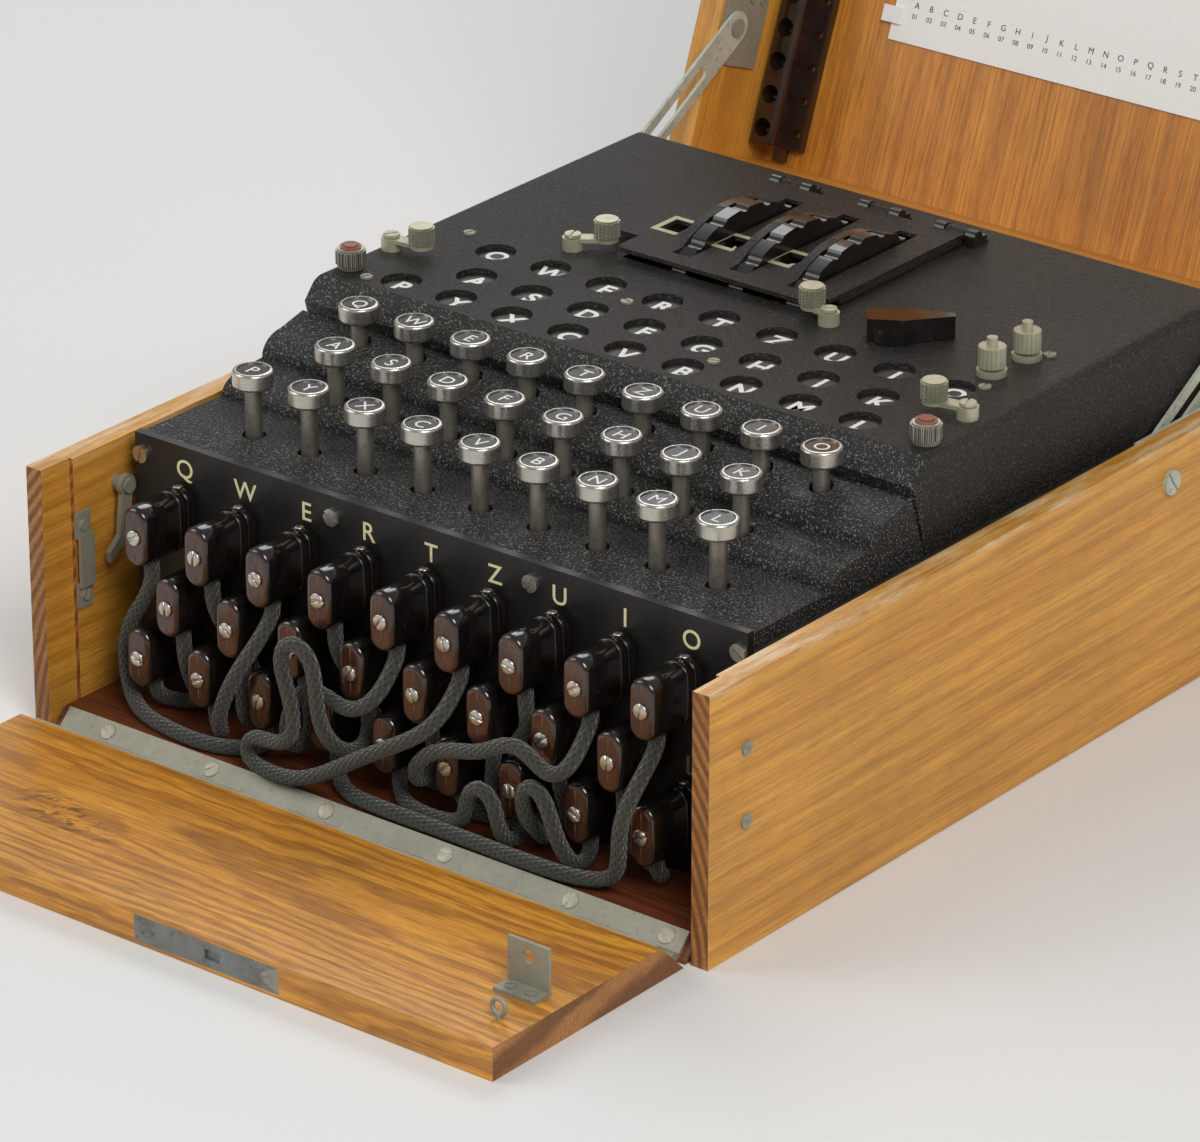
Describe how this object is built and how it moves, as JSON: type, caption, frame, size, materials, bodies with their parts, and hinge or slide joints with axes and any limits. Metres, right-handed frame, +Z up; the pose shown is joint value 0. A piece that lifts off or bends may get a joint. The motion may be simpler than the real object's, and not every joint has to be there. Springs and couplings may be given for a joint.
{
  "type": "rotor cipher machine",
  "caption": "Portable rotor cipher machine in a wooden case: keyboard, lamp windows, three rotors and a corded plugboard.",
  "frame": {"origin": "middle of the case's underside, on the surface that the case stands on", "axes": "+X to the machine's right, +Y to its back, +Z up"},
  "size_m": [0.2832, 0.6009, 0.4084],
  "materials": {
    "wood": "varnished, orange-brown, worn edges",
    "panel_board": "varnished plywood",
    "zinc": "aged, pale grey",
    "nickel": "nickel plated, worn",
    "ivory_metal": "aged nickel, cream",
    "black_enamel": "black wrinkle enamel",
    "black_panel": "smooth black enamel",
    "bakelite": "black-brown bakelite, glossy",
    "cord": "braided cotton, grey-green",
    "card": "yellowed card",
    "film": "dark letter film",
    "grey_steel": "grey enamelled steel"
  },
  "bodies": {
    "case": {"case_floor": "wood", "case_walls": "wood", "case_fittings": "zinc", "plugboard_panel": "black_panel", "patch_plugs": "bakelite", "patch_cords": "cord", "keyboard_cover": "black_enamel", "chassis": "grey_steel", "top_cover": "black_enamel", "lamp_film": "film", "deck_fittings": "zinc", "rotor_shaft": "nickel"},
    "lid": {"lid_frame": "wood", "lid_panel": "panel_board", "lid_fittings": "zinc", "spare_lamp_holder": "bakelite", "lid_card": "card"},
    "flap": {"flap_board": "wood", "flap_fittings": "zinc"},
    "stay_left": {"stay_left": "zinc"},
    "stay_right": {"stay_right": "zinc"},
    "hook_left": {"hook_left": "zinc"},
    "hook_right": {"hook_right": "zinc"},
    "rotor_cover": {"rotor_cover": "black_enamel"},
    "rotor_1": {"rotor_1": "bakelite"},
    "rotor_2": {"rotor_2": "bakelite"},
    "rotor_3": {"rotor_3": "bakelite"},
    "latch_1": {"latch_1": "ivory_metal"},
    "latch_2": {"latch_2": "ivory_metal"},
    "latch_3": {"latch_3": "ivory_metal"},
    "latch_4": {"latch_4": "ivory_metal"},
    "power_switch": {"power_switch": "bakelite"},
    "thumb_screw_left": {"thumb_screw_left": "nickel"},
    "thumb_screw_right": {"thumb_screw_right": "nickel"},
    "key_p": {"key_p": "nickel"},
    "key_y": {"key_y": "nickel"},
    "key_x": {"key_x": "nickel"},
    "key_c": {"key_c": "nickel"},
    "key_v": {"key_v": "nickel"},
    "key_b": {"key_b": "nickel"},
    "key_n": {"key_n": "nickel"},
    "key_m": {"key_m": "nickel"},
    "key_l": {"key_l": "nickel"},
    "key_a": {"key_a": "nickel"},
    "key_s": {"key_s": "nickel"},
    "key_d": {"key_d": "nickel"},
    "key_f": {"key_f": "nickel"},
    "key_g": {"key_g": "nickel"},
    "key_h": {"key_h": "nickel"},
    "key_j": {"key_j": "nickel"},
    "key_k": {"key_k": "nickel"},
    "key_q": {"key_q": "nickel"},
    "key_w": {"key_w": "nickel"},
    "key_e": {"key_e": "nickel"},
    "key_r": {"key_r": "nickel"},
    "key_t": {"key_t": "nickel"},
    "key_z": {"key_z": "nickel"},
    "key_u": {"key_u": "nickel"},
    "key_i": {"key_i": "nickel"},
    "key_o": {"key_o": "nickel"}
  },
  "joints": [
    {"name": "lid_hinge", "type": "hinge", "parent": "case", "child": "lid", "pos_m": [0, 0.16795, 0.0932], "axis": [1, 0, 0], "range_deg": [0, 111]},
    {"name": "stay_left_pivot", "type": "hinge", "parent": "lid", "child": "stay_left", "pos_m": [-0.12785, 0.1962, 0.14448], "axis": [1, 0, 0], "range_deg": [-104, 0]},
    {"name": "stay_right_pivot", "type": "hinge", "parent": "lid", "child": "stay_right", "pos_m": [0.12785, 0.1962, 0.14448], "axis": [1, 0, 0], "range_deg": [-104, 0]},
    {"name": "flap_hinge", "type": "hinge", "parent": "case", "child": "flap", "pos_m": [0, -0.168, 0.0018], "axis": [1, 0, 0], "range_deg": [-90, 0], "deforming": ["patch_cords"]},
    {"name": "rotor_cover_hinge", "type": "hinge", "parent": "case", "child": "rotor_cover", "pos_m": [-0.0185, 0.119, 0.127], "axis": [1, 0, 0], "range_deg": [-100, 0]},
    {"name": "rotor_1_turn", "type": "hinge", "parent": "case", "child": "rotor_1", "pos_m": [-0.033, 0.074, 0.084], "axis": [1, 0, 0], "continuous": true},
    {"name": "rotor_2_turn", "type": "hinge", "parent": "case", "child": "rotor_2", "pos_m": [-0.009, 0.074, 0.084], "axis": [1, 0, 0], "continuous": true},
    {"name": "rotor_3_turn", "type": "hinge", "parent": "case", "child": "rotor_3", "pos_m": [0.015, 0.074, 0.084], "axis": [1, 0, 0], "continuous": true},
    {"name": "latch_1_turn", "type": "hinge", "parent": "case", "child": "latch_1", "pos_m": [-0.1194, -0.0058, 0.127], "axis": [0, 0, 1], "range_deg": [0, 90]},
    {"name": "latch_2_turn", "type": "hinge", "parent": "case", "child": "latch_2", "pos_m": [-0.0715, 0.0322, 0.127], "axis": [0, 0, 1], "range_deg": [-90, 0]},
    {"name": "latch_3_turn", "type": "hinge", "parent": "case", "child": "latch_3", "pos_m": [0.0361, 0.0324, 0.127], "axis": [0, 0, 1], "range_deg": [0, 90]},
    {"name": "latch_4_turn", "type": "hinge", "parent": "case", "child": "latch_4", "pos_m": [0.1179, -0.0034, 0.127], "axis": [0, 0, 1], "range_deg": [-90, 0]},
    {"name": "power_switch_turn", "type": "hinge", "parent": "case", "child": "power_switch", "pos_m": [0.06, 0.036, 0.126], "axis": [0, 0, 1], "range_deg": [-60, 0]},
    {"name": "hook_left_swing", "type": "hinge", "parent": "case", "child": "hook_left", "pos_m": [-0.1279, -0.132, 0.0782], "axis": [1, 0, 0], "range_deg": [-70, 0]},
    {"name": "hook_right_swing", "type": "hinge", "parent": "case", "child": "hook_right", "pos_m": [0.1279, -0.132, 0.0782], "axis": [1, 0, 0], "range_deg": [-70, 0]},
    {"name": "thumb_screw_left_turn", "type": "hinge", "parent": "case", "child": "thumb_screw_left", "pos_m": [-0.119, -0.0275, 0.126], "axis": [0, 0, 1], "continuous": true},
    {"name": "thumb_screw_right_turn", "type": "hinge", "parent": "case", "child": "thumb_screw_right", "pos_m": [0.119, -0.0275, 0.126], "axis": [0, 0, 1], "continuous": true},
    {"name": "key_p_press", "type": "slide", "parent": "case", "child": "key_p", "axis": [0, 0, -1], "range_m": [0, 0.006], "stiffness_N_per_m": 120, "springref_m": -0.006},
    {"name": "key_y_press", "type": "slide", "parent": "case", "child": "key_y", "axis": [0, 0, -1], "range_m": [0, 0.006], "stiffness_N_per_m": 120, "springref_m": -0.006},
    {"name": "key_x_press", "type": "slide", "parent": "case", "child": "key_x", "axis": [0, 0, -1], "range_m": [0, 0.006], "stiffness_N_per_m": 120, "springref_m": -0.006},
    {"name": "key_c_press", "type": "slide", "parent": "case", "child": "key_c", "axis": [0, 0, -1], "range_m": [0, 0.006], "stiffness_N_per_m": 120, "springref_m": -0.006},
    {"name": "key_v_press", "type": "slide", "parent": "case", "child": "key_v", "axis": [0, 0, -1], "range_m": [0, 0.006], "stiffness_N_per_m": 120, "springref_m": -0.006},
    {"name": "key_b_press", "type": "slide", "parent": "case", "child": "key_b", "axis": [0, 0, -1], "range_m": [0, 0.006], "stiffness_N_per_m": 120, "springref_m": -0.006},
    {"name": "key_n_press", "type": "slide", "parent": "case", "child": "key_n", "axis": [0, 0, -1], "range_m": [0, 0.006], "stiffness_N_per_m": 120, "springref_m": -0.006},
    {"name": "key_m_press", "type": "slide", "parent": "case", "child": "key_m", "axis": [0, 0, -1], "range_m": [0, 0.006], "stiffness_N_per_m": 120, "springref_m": -0.006},
    {"name": "key_l_press", "type": "slide", "parent": "case", "child": "key_l", "axis": [0, 0, -1], "range_m": [0, 0.006], "stiffness_N_per_m": 120, "springref_m": -0.006},
    {"name": "key_a_press", "type": "slide", "parent": "case", "child": "key_a", "axis": [0, 0, -1], "range_m": [0, 0.006], "stiffness_N_per_m": 120, "springref_m": -0.006},
    {"name": "key_s_press", "type": "slide", "parent": "case", "child": "key_s", "axis": [0, 0, -1], "range_m": [0, 0.006], "stiffness_N_per_m": 120, "springref_m": -0.006},
    {"name": "key_d_press", "type": "slide", "parent": "case", "child": "key_d", "axis": [0, 0, -1], "range_m": [0, 0.006], "stiffness_N_per_m": 120, "springref_m": -0.006},
    {"name": "key_f_press", "type": "slide", "parent": "case", "child": "key_f", "axis": [0, 0, -1], "range_m": [0, 0.006], "stiffness_N_per_m": 120, "springref_m": -0.006},
    {"name": "key_g_press", "type": "slide", "parent": "case", "child": "key_g", "axis": [0, 0, -1], "range_m": [0, 0.006], "stiffness_N_per_m": 120, "springref_m": -0.006},
    {"name": "key_h_press", "type": "slide", "parent": "case", "child": "key_h", "axis": [0, 0, -1], "range_m": [0, 0.006], "stiffness_N_per_m": 120, "springref_m": -0.006},
    {"name": "key_j_press", "type": "slide", "parent": "case", "child": "key_j", "axis": [0, 0, -1], "range_m": [0, 0.006], "stiffness_N_per_m": 120, "springref_m": -0.006},
    {"name": "key_k_press", "type": "slide", "parent": "case", "child": "key_k", "axis": [0, 0, -1], "range_m": [0, 0.006], "stiffness_N_per_m": 120, "springref_m": -0.006},
    {"name": "key_q_press", "type": "slide", "parent": "case", "child": "key_q", "axis": [0, 0, -1], "range_m": [0, 0.006], "stiffness_N_per_m": 120, "springref_m": -0.006},
    {"name": "key_w_press", "type": "slide", "parent": "case", "child": "key_w", "axis": [0, 0, -1], "range_m": [0, 0.006], "stiffness_N_per_m": 120, "springref_m": -0.006},
    {"name": "key_e_press", "type": "slide", "parent": "case", "child": "key_e", "axis": [0, 0, -1], "range_m": [0, 0.006], "stiffness_N_per_m": 120, "springref_m": -0.006},
    {"name": "key_r_press", "type": "slide", "parent": "case", "child": "key_r", "axis": [0, 0, -1], "range_m": [0, 0.006], "stiffness_N_per_m": 120, "springref_m": -0.006},
    {"name": "key_t_press", "type": "slide", "parent": "case", "child": "key_t", "axis": [0, 0, -1], "range_m": [0, 0.006], "stiffness_N_per_m": 120, "springref_m": -0.006},
    {"name": "key_z_press", "type": "slide", "parent": "case", "child": "key_z", "axis": [0, 0, -1], "range_m": [0, 0.006], "stiffness_N_per_m": 120, "springref_m": -0.006},
    {"name": "key_u_press", "type": "slide", "parent": "case", "child": "key_u", "axis": [0, 0, -1], "range_m": [0, 0.006], "stiffness_N_per_m": 120, "springref_m": -0.006},
    {"name": "key_i_press", "type": "slide", "parent": "case", "child": "key_i", "axis": [0, 0, -1], "range_m": [0, 0.006], "stiffness_N_per_m": 120, "springref_m": -0.006},
    {"name": "key_o_press", "type": "slide", "parent": "case", "child": "key_o", "axis": [0, 0, -1], "range_m": [0, 0.006], "stiffness_N_per_m": 120, "springref_m": -0.006}
  ],
  "couplings": [
    {"joint": "stay_left_pivot", "follows": "lid_hinge", "ratio": -0.92911},
    {"joint": "stay_right_pivot", "follows": "lid_hinge", "ratio": -0.92911}
  ]
}
